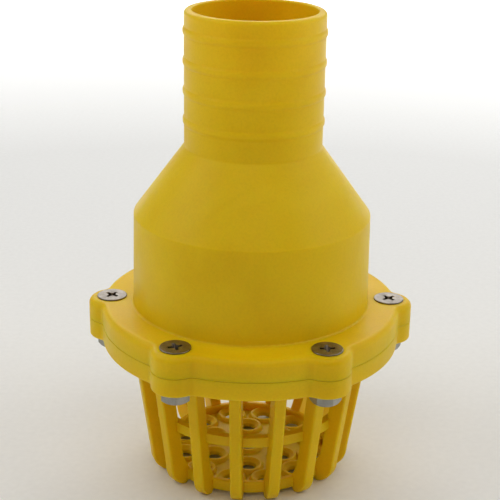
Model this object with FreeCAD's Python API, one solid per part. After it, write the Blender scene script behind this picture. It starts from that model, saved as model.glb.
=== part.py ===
import FreeCAD, Part
import math
import os

from FreeCAD import Vector

# Foot valve with a hose tail, a six-lug flange, a hinged rubber clack and a ribbed strainer basket.
# Millimetres. +Z runs up the hose tail. The origin is the centre of the plane that the ribs stand on.
# The clack's hinge lies on the +Y side and parallel to X.

# ---- strainer basket ----
basket_height = 52.9          # rib feet to the underside of the strainer flange
rib_count = 17
rib_phase_deg = -97.0         # direction of the first rib, counted from +X
rib_width = 4.4
rib_depth = 5.8               # radial
rib_top_radius = 46.4         # outer face at the flange
rib_knee_radius = 40.0        # outer face where the foot starts to curve in
rib_knee_height = 8.3
rib_foot_radius = 34.8        # outer edge of the flat foot
rib_foot_land = 1.5
rib_turn_in = 1.6             # how far the curve from knee to foot has come in at its middle
rib_turn_height = 3.0         # height of that middle point
rib_edge_round = 0.8
hoop_low = 24.2
hoop_height = 3.8
hoop_inner_radius = 35.0
hoop_wall = 3.0
rim_outer_radius = 33.0
rim_wall = 2.5
rim_low = 1.6
rim_height = 4.6
rim_round = 0.7
floor_thickness = 1.4
floor_hole_radius = 3.1
collar_top_radius = 5.5
collar_base_radius = 6.4
collar_height = 1.5
collar_round = 0.4
collar_sink = 0.2             # collar's root below the floor's top
dish_radius = 4.6             # hollow in the collar's top, round the hole
dish_depth = 1.3
inner_hole_circle = 15.5
inner_hole_count = 6
inner_hole_phase_deg = 30.0
outer_hole_circle = 26.0
outer_hole_count = 12
outer_hole_phase_deg = 15.0

# ---- flange pair ----
strainer_flange_height = 7.2
body_flange_height = 8.2
flange_radius = 56.7
lug_count = 6
screw_circle_radius = 53.2
lug_radius = 8.8
lug_blend = 3.5               # hollow round between lug and rim
flange_edge_round = 2.5
flange_low_round = 0.8
seam_chamfer = 0.25           # small break on both flanges where they meet

# ---- body ----
drum_low_radius = 44.8
drum_top_radius = 44.2
drum_height = 35.3            # flange top to the start of the cone
cone_height = 25.75
tail_radius = 25.4            # hose of 2 inch bore
tail_length = 49.25           # cone to the mouth
tail_bore_radius = 22.5
mouth_outer_round = 1.5
mouth_inner_round = 0.5
bead_rise = 0.5
bead_width = 3.2
bead_crest = 1.2
bead_round = 1.1
bead_first = 9.55             # cone to the lowest bead's centre
bead_pitch = 10.77
bead_count = 4
shell_wall = 3.2
drum_root_round = 0.8
drum_corner_round = 0.8
tail_root_round = 1.0

# ---- clack and gasket, cut from one rubber sheet ----
rubber_thickness = 3.0
gasket_outer_radius = 47.6
gasket_pocket_gap = 0.2
port_radius = 24.0
flap_radius = 29.5
flap_slot = 2.0               # gap between flap and gasket ring
hinge_y = 34.0
hinge_width = 24.0
hinge_gap = 0.3
hinge_side_gap = 1.2
weight_radius = 22.0
weight_thickness = 5.0
weight_chamfer = 0.8
backing_radius = 21.5
backing_thickness = 2.0
backing_chamfer = 0.4

# ---- M6 hardware ----
thread_radius = 3.0
thread_gap = 0.05
hole_gap = 0.3
screw_length = 20.0
screw_head_radius = 5.65
screw_head_edge = 0.5
screw_head_round = 0.3
screw_head_stand = 0.5        # head top above the lug
recess_radius = 2.8
recess_depth = 2.6
recess_wing = 1.3
recess_core_radius = 1.45
recess_end_share = 0.4        # width left at the bottom of the recess
screw_turns_deg = [38.0, 71.0, 12.0, 52.0, 20.0, 4.0]
nut_across_flats = 10.0
nut_height = 4.8
hex_end_share = 0.92         # end face's radius as a share of half the width across flats
hex_end_angle_deg = 38.0
nut_turn_step_deg = 23.0
thread_mouth = 0.5            # countersink at each end of a nut's thread
clack_head_turn_deg = 15.0
clack_nut_turn_deg = 40.0
hex_head_height = 4.0
washer_radius = 6.0
washer_thickness = 1.6
tip_chamfer = 0.6

# ---- worked out from the values above ----
seam_z = basket_height + strainer_flange_height
flange_top_z = seam_z + body_flange_height
cone_low_z = flange_top_z + drum_height
tail_low_z = cone_low_z + cone_height
mouth_z = tail_low_z + tail_length
rubber_low_z = seam_z - rubber_thickness
hole_radius = thread_radius + hole_gap
rim_inner_radius = rim_outer_radius - rim_wall
hex_corner_factor = 2.0 / math.sqrt(3.0)
lug_angles = [360.0 / lug_count * i for i in range(lug_count)]

UP = Vector(0, 0, 1)
ZERO = Vector(0, 0, 0)
overlap = 1.0                 # how far pieces of one moulding run into each other
same_place = 1e-3             # points nearer than this are one point


def polar(radius, angle_deg, z=0.0):
    a = math.radians(angle_deg)
    return Vector(radius * math.cos(a), radius * math.sin(a), z)


def revolve(points):
    """Solid of revolution about Z from a closed outline of (radius, height) points."""
    outline = [Vector(r, 0, z) for r, z in points]
    face = Part.Face(Part.makePolygon(outline + outline[:1]))
    return face.revolve(ZERO, UP, 360)


def disc(radius, low, height, centre=ZERO):
    return Part.makeCylinder(radius, height, Vector(centre.x, centre.y, low), UP)


def ring(outer, inner, low, height, centre=ZERO):
    return disc(outer, low, height, centre).cut(disc(inner, low - overlap, height + 2 * overlap, centre))


def round_edges(shape, radius, wanted):
    edges = [edge for edge in shape.Edges if wanted(edge)]
    return shape.makeFillet(radius, edges)


def level_edges(shape, z):
    """Edges that lie wholly in the plane at height z."""
    def lies_in_plane(edge):
        box = edge.BoundBox
        return abs(box.ZMin - z) < same_place and abs(box.ZMax - z) < same_place
    return [edge for edge in shape.Edges if lies_in_plane(edge)]


def circles_at(shape, radius, z):
    """Circular edges about Z with this radius in the plane at height z."""
    found = []
    for edge in level_edges(shape, z):
        curve = edge.Curve
        if isinstance(curve, Part.Circle) and abs(curve.Radius - radius) < same_place:
            if math.hypot(curve.Center.x, curve.Center.y) < same_place:
                found.append(edge)
    return found


def flange_plate(low, height):
    """Round plate with six screw lugs, blended by hollow rounds."""
    plate = disc(flange_radius, low, height)
    lugs = [disc(lug_radius, low, height, polar(screw_circle_radius, a)) for a in lug_angles]
    plate = plate.multiFuse(lugs).removeSplitter()

    def is_lug_corner(edge):
        box = edge.BoundBox
        upright = box.XLength < same_place and box.YLength < same_place
        reach = math.hypot(box.XMin, box.YMin)
        return upright and abs(reach - flange_radius) < 10 * same_place

    return round_edges(plate, lug_blend, is_lug_corner)


def screw_holes(low, height):
    return [disc(hole_radius, low, height, polar(screw_circle_radius, a)) for a in lug_angles]


def countersinks():
    """Cones that the screw heads seat in, open above the lugs."""
    cone_top = flange_top_z + screw_head_stand - screw_head_edge
    depth = screw_head_radius - hole_radius
    cones = []
    for angle in lug_angles:
        foot = polar(screw_circle_radius, angle, cone_top - depth)
        cones.append(Part.makeCone(hole_radius, screw_head_radius, depth, foot, UP))
    return cones


def bead(height):
    """Low ring round the hose tail with a flat crest."""
    inside = tail_radius - overlap
    crest = tail_radius + bead_rise
    half = bead_width / 2
    land = bead_crest / 2
    body = revolve([(inside, height - half), (tail_radius, height - half), (crest, height - land),
                    (crest, height + land), (tail_radius, height + half), (inside, height + half)])
    shoulders = circles_at(body, crest, height - land) + circles_at(body, crest, height + land)
    return body.makeFillet(bead_round, shoulders)


def body_shell():
    """Upper flange, drum, cone and beaded hose tail in one moulding."""
    plate = flange_plate(seam_z, body_flange_height)
    top_edges = level_edges(plate, flange_top_z)
    plate = plate.makeFillet(flange_edge_round, top_edges)

    tower = revolve([(0, flange_top_z - overlap), (drum_low_radius, flange_top_z - overlap),
                     (drum_low_radius, flange_top_z), (drum_top_radius, cone_low_z),
                     (tail_radius, tail_low_z), (tail_radius, mouth_z), (0, mouth_z)])
    tower = tower.makeFillet(drum_corner_round, circles_at(tower, drum_top_radius, cone_low_z))
    tower = tower.makeFillet(tail_root_round, circles_at(tower, tail_radius, tail_low_z))
    tower = tower.makeFillet(mouth_outer_round, circles_at(tower, tail_radius, mouth_z))
    solid = plate.fuse(tower).removeSplitter()
    solid = solid.makeFillet(drum_root_round, circles_at(solid, drum_low_radius, flange_top_z))

    beads = [bead(tail_low_z + bead_first + bead_pitch * i) for i in range(bead_count)]
    solid = solid.multiFuse(beads)

    slope = math.atan2(drum_top_radius - tail_radius, cone_height)
    throat_rise = shell_wall * math.tan(slope / 2)
    chamber_low = drum_low_radius - shell_wall
    chamber_top = drum_top_radius - shell_wall
    throat_z = tail_low_z + (tail_radius - shell_wall - tail_bore_radius) / math.tan(slope) - throat_rise
    hollow = revolve([(0, seam_z - overlap), (chamber_low, seam_z - overlap), (chamber_low, flange_top_z),
                      (chamber_top, cone_low_z - throat_rise), (tail_bore_radius, throat_z),
                      (tail_bore_radius, mouth_z + overlap), (0, mouth_z + overlap)])
    solid = solid.cut(hollow)
    solid = solid.makeFillet(mouth_inner_round, circles_at(solid, tail_bore_radius, mouth_z))
    solid = solid.cut(Part.makeCompound(screw_holes(seam_z - overlap, body_flange_height + 2 * overlap)))
    solid = solid.cut(Part.makeCompound(countersinks()))
    return solid.makeChamfer(seam_chamfer, rim_arcs(solid, seam_z))


def rim_arcs(shape, z):
    """The outline's arcs between the lugs, in the plane at height z."""
    return circles_at(shape, flange_radius, z)


def rib_outer_radius(z):
    share = (z - rib_knee_height) / (basket_height - rib_knee_height)
    return rib_knee_radius + (rib_top_radius - rib_knee_radius) * share


def rib():
    """One rib along +X: an upright bar that leans in, with a foot that curves in to the rim."""
    top_z = basket_height + overlap
    foot_in = rib_foot_radius - rib_foot_land
    rim_mid = rim_outer_radius - rim_wall / 2
    rim_top = rim_low + rim_height
    knee = Vector(rib_knee_radius, 0, rib_knee_height)
    foot = Vector(rib_foot_radius, 0, 0)
    turn = Vector(rib_knee_radius - rib_turn_in, 0, rib_turn_height)
    inner_top = Vector(rib_outer_radius(top_z) - rib_depth, 0, top_z)
    inner_low = Vector(rib_outer_radius(rim_top + rib_depth) - rib_depth, 0, rim_top + rib_depth)
    points = [foot, Vector(foot_in, 0, 0), Vector(rim_mid, 0, rim_low), Vector(rim_mid, 0, rim_top),
              inner_low, inner_top, Vector(rib_outer_radius(top_z), 0, top_z), knee]
    edges = [Part.makeLine(points[i], points[i + 1]) for i in range(len(points) - 1)]
    edges.append(Part.Arc(knee, turn, foot).toShape())
    face = Part.Face(Part.Wire(edges))
    face.translate(Vector(0, -rib_width / 2, 0))
    bar = face.extrude(Vector(0, rib_width, 0))

    def is_outer_edge(edge):
        box = edge.BoundBox
        along_side = box.YLength < same_place and box.ZLength > rib_turn_height
        return along_side and box.XMin > rib_foot_radius - same_place

    return round_edges(bar, rib_edge_round, is_outer_edge)


def hole_centres():
    centres = [Vector(0, 0, 0)]
    for i in range(inner_hole_count):
        centres.append(polar(inner_hole_circle, inner_hole_phase_deg + 360.0 / inner_hole_count * i))
    for i in range(outer_hole_count):
        centres.append(polar(outer_hole_circle, outer_hole_phase_deg + 360.0 / outer_hole_count * i))
    return centres


def basket_floor():
    """Round floor with a tapered, dished collar round each drain hole."""
    floor_top = rim_low + floor_thickness

    def is_top_circle(edge):
        at_top = edge.BoundBox.ZMin > floor_top + collar_height - same_place
        return at_top and isinstance(edge.Curve, Part.Circle)

    plate = disc(rim_outer_radius - rim_wall / 2, rim_low, floor_thickness)
    collars = []
    holes = []
    for centre in hole_centres():
        foot = Vector(centre.x, centre.y, floor_top - collar_sink)
        collar = Part.makeCone(collar_base_radius, collar_top_radius, collar_height + collar_sink, foot, UP)
        collars.append(round_edges(collar, collar_round, is_top_circle))
        dish_foot = Vector(centre.x, centre.y, floor_top + collar_height - dish_depth)
        holes.append(disc(floor_hole_radius, 0, floor_top + collar_height + overlap, centre))
        holes.append(Part.makeCone(floor_hole_radius, dish_radius, dish_depth, dish_foot, UP))
    inside = disc(rim_outer_radius - rim_wall / 2, rim_low, rim_height)
    raised = plate.multiFuse(collars).common(inside)
    return raised, holes


def strainer_basket():
    """Lower flange with the clack seat, ribs, hoop, bottom rim and floor in one moulding."""
    plate = flange_plate(basket_height, strainer_flange_height)
    plate = plate.makeFillet(flange_low_round, level_edges(plate, basket_height))
    plate = plate.makeChamfer(seam_chamfer, rim_arcs(plate, seam_z))
    pocket_radius = gasket_outer_radius + gasket_pocket_gap
    plate = plate.cut(disc(pocket_radius, rubber_low_z, rubber_thickness + overlap))
    plate = plate.cut(disc(port_radius, basket_height - overlap, strainer_flange_height + 2 * overlap))
    plate = plate.cut(Part.makeCompound(screw_holes(basket_height - overlap,
                                                    strainer_flange_height + 2 * overlap)))

    first = rib()
    ribs = []
    for i in range(rib_count):
        one = first.copy()
        one.rotate(ZERO, UP, rib_phase_deg + 360.0 / rib_count * i)
        ribs.append(one)
    hoop = ring(hoop_inner_radius + hoop_wall, hoop_inner_radius, hoop_low, hoop_height)
    rim = ring(rim_outer_radius, rim_inner_radius, rim_low, rim_height)
    rim = rim.makeFillet(rim_round, circles_at(rim, rim_outer_radius, rim_low + rim_height)
                         + circles_at(rim, rim_inner_radius, rim_low + rim_height)
                         + circles_at(rim, rim_outer_radius, rim_low))
    floor, holes = basket_floor()
    basket = plate.multiFuse(ribs + [hoop, rim, floor])
    basket = basket.cut(Part.makeCompound(holes))
    return basket.removeSplitter()


def hinge_block(half_width, y_end, low, height):
    return Part.makeBox(2 * half_width, y_end, height, Vector(-half_width, 0, low))


def rubber_gasket():
    """Ring of the rubber sheet that the flanges clamp, with a straight edge at the hinge."""
    sheet = disc(gasket_outer_radius, rubber_low_z, rubber_thickness)
    opening = disc(flap_radius + flap_slot, rubber_low_z - overlap, rubber_thickness + 2 * overlap)
    notch = hinge_block(hinge_width / 2 + hinge_side_gap, hinge_y + hinge_gap / 2,
                        rubber_low_z - overlap, rubber_thickness + 2 * overlap)
    return sheet.cut(opening.fuse(notch))


def clack_flap():
    """Round flap of the same sheet, with a tongue that runs to the hinge line."""
    flap = disc(flap_radius, rubber_low_z, rubber_thickness)
    tongue = hinge_block(hinge_width / 2, hinge_y - hinge_gap / 2, rubber_low_z, rubber_thickness)
    hole = disc(hole_radius, rubber_low_z - overlap, rubber_thickness + 2 * overlap)
    return flap.fuse(tongue).removeSplitter().cut(hole)


def clack_disc(radius, low, thickness, chamfer):
    plate = ring(radius, hole_radius, low, thickness)
    edges = circles_at(plate, radius, low) + circles_at(plate, radius, low + thickness)
    return plate.makeChamfer(chamfer, edges)


def hexagon(across_flats, low, height, centre, turn_deg, chamfer_ends):
    """Hexagon prism whose corners are turned off by a cone at the named ends."""
    corner = across_flats / 2 * hex_corner_factor
    points = [centre + polar(corner, turn_deg + 60.0 * i, low) for i in range(6)]
    prism = Part.Face(Part.makePolygon(points + points[:1])).extrude(Vector(0, 0, height))
    flat = across_flats / 2 * hex_end_share
    cut_in = (corner - flat) * math.tan(math.radians(hex_end_angle_deg))
    bottom_cut = cut_in if "bottom" in chamfer_ends else 0.0
    top_cut = cut_in if "top" in chamfer_ends else 0.0
    outline = [(0, low), (flat if bottom_cut else corner, low), (corner, low + bottom_cut),
               (corner, low + height - top_cut), (flat if top_cut else corner, low + height),
               (0, low + height)]
    unique = [p for i, p in enumerate(outline) if i == 0 or p != outline[i - 1]]
    turned = revolve(unique)
    turned.translate(Vector(centre.x, centre.y, 0))
    return prism.common(turned)


def hex_nut(low, centre, turn_deg):
    """M6 nut with both thread mouths countersunk."""
    bore = thread_radius + thread_gap
    mouth = bore + thread_mouth
    high = low + nut_height
    nut = hexagon(nut_across_flats, low, nut_height, centre, turn_deg, ("bottom", "top"))
    cutter = revolve([(0, low - overlap), (mouth, low - overlap), (mouth, low), (bore, low + thread_mouth),
                      (bore, high - thread_mouth), (mouth, high), (mouth, high + overlap),
                      (0, high + overlap)])
    cutter.translate(Vector(centre.x, centre.y, 0))
    return nut.cut(cutter)


def cross_recess(top_z):
    """Tapered four-wing driver recess about the Z axis."""
    low = top_z - recess_depth
    foot = Vector(0, 0, low)
    taper = Part.makeCone(recess_radius * recess_end_share, recess_radius, recess_depth, foot, UP)
    long_side = 2 * recess_radius
    wing_x = Part.makeBox(long_side, recess_wing, recess_depth, Vector(-recess_radius, -recess_wing / 2, low))
    wing_y = Part.makeBox(recess_wing, long_side, recess_depth, Vector(-recess_wing / 2, -recess_radius, low))
    core = Part.makeCone(recess_core_radius * recess_end_share, recess_core_radius, recess_depth, foot, UP)
    return wing_x.fuse(wing_y).common(taper).fuse(core)


def flange_screw(angle, turn_deg):
    """M6 countersunk screw with a cross recess, standing a little proud of its lug."""
    top_z = flange_top_z + screw_head_stand
    edge_z = top_z - screw_head_edge
    neck_z = edge_z - (screw_head_radius - thread_radius)
    tip_z = top_z - screw_length
    screw = revolve([(0, tip_z), (thread_radius - tip_chamfer, tip_z), (thread_radius, tip_z + tip_chamfer),
                     (thread_radius, neck_z), (screw_head_radius, edge_z), (screw_head_radius, top_z),
                     (0, top_z)])
    screw = screw.makeFillet(screw_head_round, circles_at(screw, screw_head_radius, top_z))
    screw = screw.cut(cross_recess(top_z))
    screw.rotate(ZERO, UP, turn_deg)
    screw.translate(polar(screw_circle_radius, angle))
    return screw


def clack_screw():
    """M6 hexagon screw that holds the clack's discs together."""
    head_low = seam_z + weight_thickness
    tip_z = head_low - screw_length
    head = hexagon(nut_across_flats, head_low, hex_head_height, ZERO, clack_head_turn_deg, ("top",))
    shank = revolve([(0, tip_z), (thread_radius - tip_chamfer, tip_z), (thread_radius, tip_z + tip_chamfer),
                     (thread_radius, head_low + overlap), (0, head_low + overlap)])
    return head.fuse(shank).removeSplitter()


def make_parts():
    backing_low = rubber_low_z - backing_thickness
    washer_low = backing_low - washer_thickness
    parts = {
        "body_shell": body_shell(),
        "strainer_basket": strainer_basket(),
        "rubber_gasket": rubber_gasket(),
        "clack_flap": clack_flap(),
        "clack_weight": clack_disc(weight_radius, seam_z, weight_thickness, weight_chamfer),
        "clack_backing_plate": clack_disc(backing_radius, backing_low, backing_thickness,
                                          backing_chamfer),
        "clack_screw": clack_screw(),
        "clack_washer": ring(washer_radius, hole_radius, washer_low, washer_thickness),
        "clack_nut": hex_nut(washer_low - nut_height, ZERO, clack_nut_turn_deg),
    }
    for i, angle in enumerate(lug_angles):
        parts["flange_screw_%d" % (i + 1)] = flange_screw(angle, screw_turns_deg[i])
        centre = polar(screw_circle_radius, angle)
        parts["flange_nut_%d" % (i + 1)] = hex_nut(basket_height - nut_height, centre, nut_turn_step_deg * i)
    return parts


os.makedirs("parts", exist_ok=True)
for name, shape in make_parts().items():
    print(name, "solids", len(shape.Solids), "valid", shape.isValid(), "volume", round(shape.Volume))
    shape.exportStep("parts/" + name + ".step")
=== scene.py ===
import math

import bpy
import numpy as np
from mathutils import Matrix, Vector


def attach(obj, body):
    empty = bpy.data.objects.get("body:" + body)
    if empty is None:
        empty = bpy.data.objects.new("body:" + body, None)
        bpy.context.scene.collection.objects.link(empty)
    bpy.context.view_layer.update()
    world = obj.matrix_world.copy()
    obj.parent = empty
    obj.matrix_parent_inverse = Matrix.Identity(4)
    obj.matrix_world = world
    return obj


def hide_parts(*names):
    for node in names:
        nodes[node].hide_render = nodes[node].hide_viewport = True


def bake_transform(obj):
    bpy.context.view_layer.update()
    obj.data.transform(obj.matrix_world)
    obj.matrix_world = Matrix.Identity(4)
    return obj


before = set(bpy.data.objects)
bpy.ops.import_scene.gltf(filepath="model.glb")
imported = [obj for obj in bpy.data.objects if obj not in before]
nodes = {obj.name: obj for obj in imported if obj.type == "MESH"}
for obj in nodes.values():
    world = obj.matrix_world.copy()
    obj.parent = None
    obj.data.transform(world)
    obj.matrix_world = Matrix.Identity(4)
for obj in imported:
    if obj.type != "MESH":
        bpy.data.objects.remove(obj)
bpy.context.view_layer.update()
mm = 0.001
tiny = 1e-6              # keeps comparisons and divisions safe
print("frame loaded:", len(nodes), "nodes")


# small helpers

def toLinear(hexColour, alpha=1.0):  # sRGB hex to the linear colour that shaders use
    values = [int(hexColour[i:i + 2], 16) / 255 for i in (1, 3, 5)]
    return [v / 12.92 if v <= 0.04045 else ((v + 0.055) / 1.055) ** 2.4 for v in values] + [alpha]


def placeStops(elements, stops):  # stops are (place, grey or colour)
    while len(elements) > len(stops):
        elements.remove(elements[-1])
    while len(elements) < len(stops):
        elements.new(1.0)
    for element, (place, colour) in zip(elements, stops):
        element.position = place
        element.color = colour if isinstance(colour, (list, tuple)) else (colour, colour, colour, 1)


def addNode(tree, kind, settings=None, links=None):  # settings by property or input socket, or a ramp's stops
    node = tree.nodes.new(kind)
    for key, value in (settings or {}).items():
        if key == "stops":
            placeStops(node.color_ramp.elements, value)
        elif isinstance(key, str) and hasattr(node, key) and key not in node.inputs:
            setattr(node, key, value)
        else:
            node.inputs[key].default_value = value
    for key, output in (links or {}).items():
        tree.links.new(output, node.inputs[key])
    return node


def newMaterial(name):
    material = bpy.data.materials.new(name)
    material.use_nodes = True
    material.node_tree.nodes.clear()
    return material, material.node_tree


def dress(material, *names):  # gives CAD nodes this material in every slot
    for name in names:
        obj = nodes[name]
        if not obj.data.materials:
            obj.data.materials.append(material)
        for i in range(len(obj.data.materials)):
            obj.data.materials[i] = material


def gridMesh(name, points, closeU, closeV):  # quads over a (rows, columns, 3) array of points
    rows, columns = points.shape[:2]
    index = np.arange(rows * columns).reshape(rows, columns)
    if closeU:
        index = np.vstack([index, index[:1]])
    if closeV:
        index = np.hstack([index, index[:, :1]])
    corners = [index[:-1, :-1], index[1:, :-1], index[1:, 1:], index[:-1, 1:]]
    quads = np.stack(corners, -1).reshape(-1, 4)
    mesh = bpy.data.meshes.new(name)
    mesh.from_pydata(points.reshape(-1, 3).tolist(), [], quads.tolist())
    obj = bpy.data.objects.new(name, mesh)
    bpy.context.scene.collection.objects.link(obj)
    return obj


# camera, first because everything is judged through it

camera = {
    "place": (-5.8 * mm, -432.5 * mm, 251.6 * mm),
    "heading": 0.7,           # degrees, right of +Y
    "pitch": 20.75,           # degrees, looking down
    "roll": 1.0,              # degrees, right side low
    "lens": 87.8,
    "sensor": 36,
}


def makeCamera(s):
    h, p, r = (math.radians(s[k]) for k in ("heading", "pitch", "roll"))
    ahead = Vector((math.sin(h) * math.cos(p), math.cos(h) * math.cos(p), -math.sin(p)))
    level = Vector((math.cos(h), -math.sin(h), 0))
    above = level.cross(ahead)
    right = level * math.cos(r) + above * math.sin(r)
    up = above * math.cos(r) - level * math.sin(r)
    data = bpy.data.cameras.new("studioCamera")
    data.sensor_width = s["sensor"]
    data.lens = s["lens"]
    data.clip_start = 0.01
    obj = bpy.data.objects.new("studioCamera", data)
    turned = Matrix((right, up, -ahead)).transposed()
    obj.matrix_world = Matrix.Translation(s["place"]) @ turned.to_4x4()
    bpy.context.scene.collection.objects.link(obj)
    bpy.context.scene.camera = obj


makeCamera(camera)
print("camera set")


# yellow polypropylene, injection moulded

yellowPlastic = {
    "colour": "#EEC80B",      # pigmented resin
    "pale": "#F1CC14",        # where the skin is a little thin of pigment
    "deep": "#EAC207",        # where pigment gathers
    "flowSize": 34.0,         # mm, clouds of colour left by the melt's flow
    "speckSize": 0.8,         # mm, pigment specks, drawn coarse enough to show
    "speckShade": 0.95,
    # grime and painted shade: the colour that corners are darkened towards, how far from a corner, and how
    # strongly
    "grimeAndShade": "#C9A13C",
    "grimeAndShadeReach": 1.4,        # mm from a corner
    "grimeAndShadeShare": 0.5,
    "scuffSize": 0.84,        # mm across a scuff
    "scuffSquash": 0.12,      # scuffs run along Z
    "scuffPatch": 18.0,       # mm, the patches that scuffs gather in
    "roughness": (0.37, 0.5),  # clean skin, scuffed skin
    "waveSize": 16.0,         # mm, slight sinking of the skin as the moulding cooled
    "waveDepth": 0.5,         # mm
    "waveStrength": 0.12,
    "grainSize": 0.9,         # mm, the orange peel of the mould's skin, drawn coarse enough to show
    "grainDepth": 0.05,       # mm
    "grainStrength": 0.15,
    "ior": 1.49,
    "specular": 0.17,
    "inside": 0.5,            # share of the light that goes in and comes out again
    "insideReach": (3.2, 1.7, 0.15),   # of red, green and blue light, times the depth
    "insideDepth": 1.8,       # mm
}


def makeYellowPlastic(s):
    # Pigmented polypropylene is satin and slightly waxy: light goes a little way in and comes out more
    # orange, the skin has a fine orange peel from the mould, and handling leaves faint dull scuffs.
    material, tree = newMaterial("mouldedPolypropyleneYellow")
    where = addNode(tree, "ShaderNodeTexCoord").outputs["Object"]
    flow = addNode(tree, "ShaderNodeTexNoise",
                   {"Scale": 1 / (s["flowSize"] * mm), "Detail": 3.0, "Distortion": 0.8},
                   {"Vector": where})
    speck = addNode(tree, "ShaderNodeTexNoise",
                    {"Scale": 1 / (s["speckSize"] * mm), "Detail": 2.0, "Roughness": 0.6},
                    {"Vector": where})
    tints = [(0.32, toLinear(s["deep"])), (0.5, toLinear(s["colour"])), (0.7, toLinear(s["pale"]))]
    tinted = addNode(tree, "ShaderNodeValToRGB", {"stops": tints}, {"Fac": flow.outputs["Fac"]})
    specks = addNode(tree, "ShaderNodeValToRGB", {"stops": [(0.3, s["speckShade"]), (0.6, 1.0)]},
                     {"Fac": speck.outputs["Fac"]})
    colour = addNode(tree, "ShaderNodeMix", {"data_type": "RGBA", "blend_type": "MULTIPLY", 0: 1.0},
                     {6: tinted.outputs["Color"], 7: specks.outputs["Color"]})
    # painted shade with a little grime: the colour is darkened in the tightest corners, where shade falls
    corner = addNode(tree, "ShaderNodeAmbientOcclusion", {"samples": 6, "Distance": s["grimeAndShadeReach"] * mm})
    grimeAndShade = addNode(tree, "ShaderNodeValToRGB", {"stops": [(0.15, toLinear(s["grimeAndShade"])), (0.6, 1.0)]},
                    {"Fac": corner.outputs["AO"]})
    soiledAndShaded = addNode(tree, "ShaderNodeMix",
                     {"data_type": "RGBA", "blend_type": "MULTIPLY", 0: s["grimeAndShadeShare"]},
                     {6: colour.outputs[2], 7: grimeAndShade.outputs["Color"]})
    # scuffs: thin stretched noise, only where a coarser noise lets them through
    stretch = addNode(tree, "ShaderNodeMapping", {"Scale": (1.0, 1.0, s["scuffSquash"])},
                      {"Vector": where})
    scuff = addNode(tree, "ShaderNodeTexNoise", {"Scale": 1 / (s["scuffSize"] * mm), "Detail": 4.0},
                    {"Vector": stretch.outputs["Vector"]})
    patch = addNode(tree, "ShaderNodeTexNoise", {"Scale": 1 / (s["scuffPatch"] * mm), "Detail": 2.0},
                    {"Vector": where})
    both = addNode(tree, "ShaderNodeMath", {"operation": "MULTIPLY"},
                   {0: scuff.outputs["Fac"], 1: patch.outputs["Fac"]})
    clean, scuffed = s["roughness"]
    rough = addNode(tree, "ShaderNodeMapRange",
                    {"From Min": 0.18, "From Max": 0.36, "To Min": clean, "To Max": scuffed},
                    {"Value": both.outputs["Value"]})
    grain = addNode(tree, "ShaderNodeTexNoise", {"Scale": 1 / (s["grainSize"] * mm), "Detail": 3.0},
                    {"Vector": where})
    waves = addNode(tree, "ShaderNodeTexNoise", {"Scale": 1 / (s["waveSize"] * mm), "Detail": 1.0},
                    {"Vector": where})
    waved = addNode(tree, "ShaderNodeBump",
                    {"Strength": s["waveStrength"], "Distance": s["waveDepth"] * mm},
                    {"Height": waves.outputs["Fac"]})
    grained = addNode(tree, "ShaderNodeBump",
                      {"Strength": s["grainStrength"], "Distance": s["grainDepth"] * mm},
                      {"Height": grain.outputs["Fac"], "Normal": waved.outputs["Normal"]})
    skin = addNode(tree, "ShaderNodeBsdfPrincipled",
                   {"IOR": s["ior"], "Specular IOR Level": s["specular"], "Subsurface Weight": s["inside"],
                    "Subsurface Radius": s["insideReach"], "Subsurface Scale": s["insideDepth"] * mm},
                   {"Base Color": soiledAndShaded.outputs[2], "Roughness": rough.outputs["Result"],
                    "Normal": grained.outputs["Normal"]})
    addNode(tree, "ShaderNodeOutputMaterial", None, {"Surface": skin.outputs["BSDF"]})
    return material


# metals

# painted shade: each finish darkens towards its dark colour near corners, within this reach and by this share
plating = {
    "cornerShadeReach": 1.2,      # mm from a corner
    "cornerShadeShare": 0.85,
    "markDepth": 0.04,        # mm
}
screwSteel = plating | {
    "bright": "#978F85", "dull": "#756D63", "paintedCornerShade": "#3A332B",
    "cloudSize": 3.2,         # mm, cloudiness of the plating
    "markSize": 0.3,          # mm, forming marks
    "markStrength": 0.45,
    "roughness": (0.26, 0.46),
}
zincPlate = plating | {
    "bright": "#AEADA5", "dull": "#95948D", "paintedCornerShade": "#50535A",
    "cloudSize": 4.5,
    "markSize": 0.6,
    "markStrength": 0.3,
    "roughness": (0.34, 0.54),
}
zincDisc = plating | {
    "bright": "#B6B9BD", "dull": "#909398", "paintedCornerShade": "#4A4B4D",
    "cloudSize": 6.0,
    "markSize": 1.2,
    "markStrength": 0.5,
    "roughness": (0.34, 0.54),
}


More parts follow.
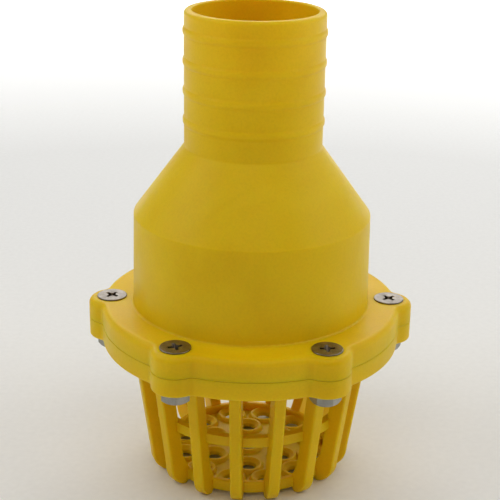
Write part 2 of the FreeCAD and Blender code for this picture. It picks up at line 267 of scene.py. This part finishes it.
def makePlatedSteel(name, s):
    # Cold-formed steel with a thin plated skin: metallic, slightly cloudy, with fine forming marks, and
    # painted shade that darkens it in the corners.
    material, tree = newMaterial(name)
    where = addNode(tree, "ShaderNodeTexCoord").outputs["Object"]
    cloud = addNode(tree, "ShaderNodeTexNoise",
                    {"Scale": 1 / (s["cloudSize"] * mm), "Detail": 4.0, "Roughness": 0.55},
                    {"Vector": where})
    shades = [(0.32, toLinear(s["dull"])), (0.62, toLinear(s["bright"]))]
    clouded = addNode(tree, "ShaderNodeValToRGB", {"stops": shades}, {"Fac": cloud.outputs["Fac"]})
    # painted shade: the plating is darkened in corners and recesses, where shade falls
    corner = addNode(tree, "ShaderNodeAmbientOcclusion",
                     {"samples": 6, "Distance": s["cornerShadeReach"] * mm})
    paintedCornerShade = addNode(tree, "ShaderNodeValToRGB",
                      {"stops": [(0.35, toLinear(s["paintedCornerShade"])), (0.85, 1.0)]}, {"Fac": corner.outputs["AO"]})
    colour = addNode(tree, "ShaderNodeMix",
                     {"data_type": "RGBA", "blend_type": "MULTIPLY", 0: s["cornerShadeShare"]},
                     {6: clouded.outputs["Color"], 7: paintedCornerShade.outputs["Color"]})
    marks = addNode(tree, "ShaderNodeTexNoise", {"Scale": 1 / (s["markSize"] * mm), "Detail": 4.0},
                    {"Vector": where})
    smooth, coarse = s["roughness"]
    rough = addNode(tree, "ShaderNodeMapRange",
                    {"From Min": 0.3, "From Max": 0.7, "To Min": smooth, "To Max": coarse},
                    {"Value": marks.outputs["Fac"]})
    bump = addNode(tree, "ShaderNodeBump",
                   {"Strength": s["markStrength"], "Distance": s["markDepth"] * mm},
                   {"Height": marks.outputs["Fac"]})
    skin = addNode(tree, "ShaderNodeBsdfPrincipled", {"Metallic": 1.0},
                   {"Base Color": colour.outputs[2], "Roughness": rough.outputs["Result"],
                    "Normal": bump.outputs["Normal"]})
    addNode(tree, "ShaderNodeOutputMaterial", None, {"Surface": skin.outputs["BSDF"]})
    return material


# rubber

blackRubber = {
    "colour": "#1D1D1E",
    "bloom": "#34342F",       # haze that comes to the surface of old rubber
    "bloomSize": 9.0,         # mm
    "grainSize": 0.35,        # mm
    "grainDepth": 0.05,       # mm
    "grainStrength": 0.3,
    "roughness": (0.62, 0.8),
    "ior": 1.52,
    "sheen": 0.08,
}


def makeBlackRubber(s):
    # Calendered nitrile sheet: dull black with a light bloom and a fine matt grain.
    material, tree = newMaterial("nitrileRubberSheetBlack")
    where = addNode(tree, "ShaderNodeTexCoord").outputs["Object"]
    bloom = addNode(tree, "ShaderNodeTexNoise",
                    {"Scale": 1 / (s["bloomSize"] * mm), "Detail": 6.0, "Roughness": 0.7},
                    {"Vector": where})
    shades = [(0.45, toLinear(s["colour"])), (0.75, toLinear(s["bloom"]))]
    bloomed = addNode(tree, "ShaderNodeValToRGB", {"stops": shades}, {"Fac": bloom.outputs["Fac"]})
    grain = addNode(tree, "ShaderNodeTexNoise", {"Scale": 1 / (s["grainSize"] * mm), "Detail": 3.0},
                    {"Vector": where})
    bump = addNode(tree, "ShaderNodeBump",
                   {"Strength": s["grainStrength"], "Distance": s["grainDepth"] * mm},
                   {"Height": grain.outputs["Fac"]})
    plain, hazy = s["roughness"]
    rough = addNode(tree, "ShaderNodeMapRange",
                    {"From Min": 0.3, "From Max": 0.7, "To Min": plain, "To Max": hazy},
                    {"Value": bloom.outputs["Fac"]})
    skin = addNode(tree, "ShaderNodeBsdfPrincipled", {"IOR": s["ior"], "Sheen Weight": s["sheen"]},
                   {"Base Color": bloomed.outputs["Color"], "Roughness": rough.outputs["Result"],
                    "Normal": bump.outputs["Normal"]})
    addNode(tree, "ShaderNodeOutputMaterial", None, {"Surface": skin.outputs["BSDF"]})
    return material


rubberSheet = {  # mm, gasket and clack flap cut from one sheet that bends along the hinge line
    "low": 57.1, "high": 60.1,
    "outer": 47.6,
    "opening": 31.5,          # radius of the slot's outer side
    "flap": 29.5,
    "hole": 3.3,              # for the screw through the clack
    "tongueHalf": 12.0,       # half the hinge's width
    "notchHalf": 13.2,
    "root": 34.15,            # where the tongue runs out of the gasket
    "bendEnd": 30.5,          # the tongue is stiff from here on
    "edge": 0.35,             # rounding that the cutting die leaves
    "join": 0.02,             # what is left of it where the tongue meets the gasket
    "columns": 240,           # directions round the sheet
}


def cutOutline(angles, radius, halfWidth, reach):
    # Distance from the centre to an outline at each angle from +Y: a circle with a straight-sided tongue
    # that ends in a straight edge square to Y. The floors on cosine and sine only stop a division by zero
    # at angles where that side isn't used.
    cosine = np.maximum(np.cos(angles), 0.1)
    sine = np.maximum(np.abs(np.sin(angles)), tiny)
    endAngle = math.atan2(halfWidth, reach)
    sideAngle = math.asin(halfWidth / radius)
    size = np.abs(angles)
    sides = np.where(size <= sideAngle + tiny, halfWidth / sine, radius)
    return np.where(size <= endAngle + tiny, reach / cosine, sides)


def ringSolid(name, angles, inner, outer, innerRound, outerRound, low, high, shares):
    # Closed section carried round the Z axis: along the bottom from the inner to the outer outline, up the
    # outer side, back along the top and down the inner side, each corner cut back by its own rounding.
    width = outer - outerRound - inner - innerRound
    flat = (inner + innerRound)[None] + width[None] * shares[:, None]
    midRound = 0.3   # a quarter round's middle lies this share of its radius in from each side
    innerMid, outerMid = midRound * innerRound, midRound * outerRound
    outSide = [(outer - outerMid, low + outerMid), (outer, low + outerRound),
               (outer, high - outerRound), (outer - outerMid, high - outerMid)]
    inSide = [(inner + innerMid, high - innerMid), (inner, high - innerRound),
              (inner, low + innerRound), (inner + innerMid, low + innerMid)]
    bottom, top = np.full_like(flat, low), np.full_like(flat, high)
    r = np.vstack([flat, *[p[0][None] for p in outSide], flat[::-1], *[p[0][None] for p in inSide]])
    z = np.vstack([bottom, *[p[1][None] for p in outSide], top, *[p[1][None] for p in inSide]])
    points = np.stack([-r * np.sin(angles), r * np.cos(angles), z], -1) * mm
    return gridMesh(name, points[:, ::-1], True, True)       # this order turns the faces outwards


def makeRubberSheet(s, material):
    bends = [math.atan2(s["tongueHalf"], s["root"]), math.asin(s["tongueHalf"] / s["flap"]),
             math.atan2(s["notchHalf"], s["root"]), math.asin(s["notchHalf"] / s["opening"])]
    angles = np.linspace(-math.pi, math.pi, s["columns"], endpoint=False)
    corners = np.array([-b for b in bends] + bends)
    angles[np.abs(angles[None] - corners[:, None]).argmin(1)] = corners   # columns fall on the corners
    angles = np.unique(angles)
    inTongue = np.abs(angles) <= bends[0] + tiny
    rounding = np.full_like(angles, s["edge"])
    atJoin = np.where(inTongue, s["join"], s["edge"])        # no rounding where the tongue leaves the gasket
    flapEdge = cutOutline(angles, s["flap"], s["tongueHalf"], s["root"])
    openEdge = cutOutline(angles, s["opening"], s["notchHalf"], s["root"])
    hole = np.full_like(angles, s["hole"])
    rim = np.full_like(angles, s["outer"])
    clamped = np.linspace(0, 0.75, 7)         # rows from the hole outwards, as shares of the way
    bending = np.linspace(0.8, 1, 13)         # closer together, for the bend
    flap = ringSolid("rubberFlap", angles, hole, flapEdge, rounding, atJoin, s["low"], s["high"],
                     np.concatenate([clamped, bending]))
    gasket = ringSolid("rubberGasketRing", angles, openEdge, rim, atJoin, rounding, s["low"], s["high"],
                       np.linspace(0, 1, 7))
    for piece, node in ((flap, "clack_flap"), (gasket, "rubber_gasket")):
        piece.data.materials.append(material)
        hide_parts(node)
    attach(gasket, "valve_body")
    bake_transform(flap)


yellow = makeYellowPlastic(yellowPlastic)
screwMetal = makePlatedSteel("dulledNickelPlatedSteel", screwSteel)
nutMetal = makePlatedSteel("brightZincPlatedSteel", zincPlate)
discMetal = makePlatedSteel("pressedZincPlatedPlate", zincDisc)
rubber = makeBlackRubber(blackRubber)
print("materials made")

dress(yellow, "body_shell", "strainer_basket")
dress(screwMetal, *[n for n in nodes if n.startswith("flange_screw")])
dress(nutMetal, *[n for n in nodes if n.startswith("flange_nut")])
dress(nutMetal, "clack_screw", "clack_nut", "clack_washer")
dress(discMetal, "clack_weight", "clack_backing_plate")
print("metal and plastic dressed")

makeRubberSheet(rubberSheet, rubber)
print("rubber sheet cut")


# floor, light and air

studio = {
    "floor": "#F4F4F2",
    "floorFibre": "#F0F0EE",
    "fibreSize": 2.5,         # mm
    "floorRings": (0.001, 0.3, 1.0, 3.0, 6.0),
    "floorDrop": 0.05,        # mm below the feet, so that they don't share a plane
    "glow": 0.8,              # keeps the floor pale far from the lights
    "glowFrom": 0.45,         # metres from the middle
    "glowFull": 1.5,
    "backdrop": "#EDEDEA",
    "backdropRadius": 8.0,
    "air": 0.03,
    "aim": (0, 0, 0.09),
    "panels": {  # name: place, width and height in metres, power in watts, colour
        "leftPanel": ((-0.75, 0.0, 0.30), (0.7, 0.9), 0.52, "#FFFFFF"),
        "rightPanel": ((0.75, 0.0, 0.30), (0.7, 0.9), 1.35, "#FFFFFF"),
        "backLeftPanel": ((-0.55, 0.65, 0.35), (0.6, 0.8), 0.32, "#FFFFFF"),
        "backRightPanel": ((0.55, 0.65, 0.35), (0.6, 0.8), 0.8, "#FFFFFF"),
        "highLeftPanel": ((-0.50, -0.05, 0.55), (0.5, 0.5), 1.22, "#FFFFFF"),
        "highRightPanel": ((0.50, -0.05, 0.55), (0.5, 0.5), 0.8, "#FFFFFF"),
        "frontPanel": ((0.0, -1.0, 0.55), (0.9, 0.7), 1.05, "#FFEACC"),
        "frontTopPanel": ((0.0, -0.4, 0.9), (0.7, 0.5), 1.6, "#FFF8EC"),
        "backTopPanel": ((0.0, 0.7, 0.8), (1.0, 0.6), 2.5, "#FFFFFF"),
    },
    "wash": ((0.0, 1.75, 0.9), (2.4, 1.2), 24.0, "#FFFFFF"),   # far behind, from straight above
}


def makeFloor(s):  # flat disc: radius along u, angle along v
    angles = np.linspace(0, 2 * np.pi, 96, endpoint=False)
    r, a = np.meshgrid(np.array(s["floorRings"]), angles, indexing="ij")
    points = np.stack([r * np.cos(a), r * np.sin(a), np.full_like(r, -s["floorDrop"] * mm)], -1)
    floor = gridMesh("studioFloor", points, False, True)
    material, tree = newMaterial("paleMattPaper")
    where = addNode(tree, "ShaderNodeTexCoord").outputs["Object"]
    fibre = addNode(tree, "ShaderNodeTexNoise", {"Scale": 1 / (s["fibreSize"] * mm), "Detail": 3.0},
                    {"Vector": where})
    shades = [(0.3, toLinear(s["floorFibre"])), (0.7, toLinear(s["floor"]))]
    paper = addNode(tree, "ShaderNodeValToRGB", {"stops": shades}, {"Fac": fibre.outputs["Fac"]})
    reach = addNode(tree, "ShaderNodeVectorMath", {"operation": "LENGTH"}, {0: where})
    glow = addNode(tree, "ShaderNodeMapRange",
                   {"From Min": s["glowFrom"], "From Max": s["glowFull"], "To Min": 0.0, "To Max": s["glow"]},
                   {"Value": reach.outputs["Value"]})
    skin = addNode(tree, "ShaderNodeBsdfPrincipled", {"Roughness": 0.9, "Emission Color": (1, 1, 1, 1)},
                   {"Base Color": paper.outputs["Color"], "Emission Strength": glow.outputs["Result"]})
    addNode(tree, "ShaderNodeOutputMaterial", None, {"Surface": skin.outputs["BSDF"]})
    floor.data.materials.append(material)


def makeBackdrop(s):  # sphere round the set: latitude along u, longitude along v; it lights nothing
    latitudes = np.radians(np.linspace(89.9, -89.9, 25))
    longitudes = np.linspace(0, 2 * np.pi, 48, endpoint=False)
    u, v = np.meshgrid(latitudes, longitudes, indexing="ij")
    points = np.stack([np.cos(u) * np.cos(v), np.cos(u) * np.sin(v), np.sin(u)], -1) * s["backdropRadius"]
    backdrop = gridMesh("studioBackdrop", points, False, True)
    material, tree = newMaterial("palePlainBackdrop")
    paper = addNode(tree, "ShaderNodeEmission", {"Color": toLinear(s["backdrop"]), "Strength": 1.0})
    addNode(tree, "ShaderNodeOutputMaterial", None, {"Surface": paper.outputs["Emission"]})
    backdrop.data.materials.append(material)
    for ray in ("visible_diffuse", "visible_glossy", "visible_transmission", "visible_shadow"):
        setattr(backdrop, ray, False)


def makePanel(name, place, size, power, colour, aim):
    data = bpy.data.lights.new(name, "AREA")
    data.shape = "RECTANGLE"
    data.size, data.size_y = size
    data.energy = power
    data.color = toLinear(colour)[:3]
    obj = bpy.data.objects.new(name, data)
    turned = (Vector(aim) - Vector(place)).to_track_quat("-Z", "Y").to_matrix()
    obj.matrix_world = Matrix.Translation(place) @ turned.to_4x4()
    obj.visible_camera = False
    bpy.context.scene.collection.objects.link(obj)


def makePanels(s):
    for name, panel in s["panels"].items():
        makePanel(name, *panel, s["aim"])
    place = s["wash"][0]
    makePanel("backWashPanel", *s["wash"], (place[0], place[1], 0.0))


def makeAir(s):
    world = bpy.data.worlds.new("tentAir")
    world.use_nodes = True
    background = world.node_tree.nodes["Background"]
    background.inputs["Color"].default_value = (1, 1, 1, 1)
    background.inputs["Strength"].default_value = s["air"]
    bpy.context.scene.world = world


makeFloor(studio)
makeBackdrop(studio)
makePanels(studio)
makeAir(studio)
bpy.context.scene.view_settings.view_transform = "Standard"
print("studio set")
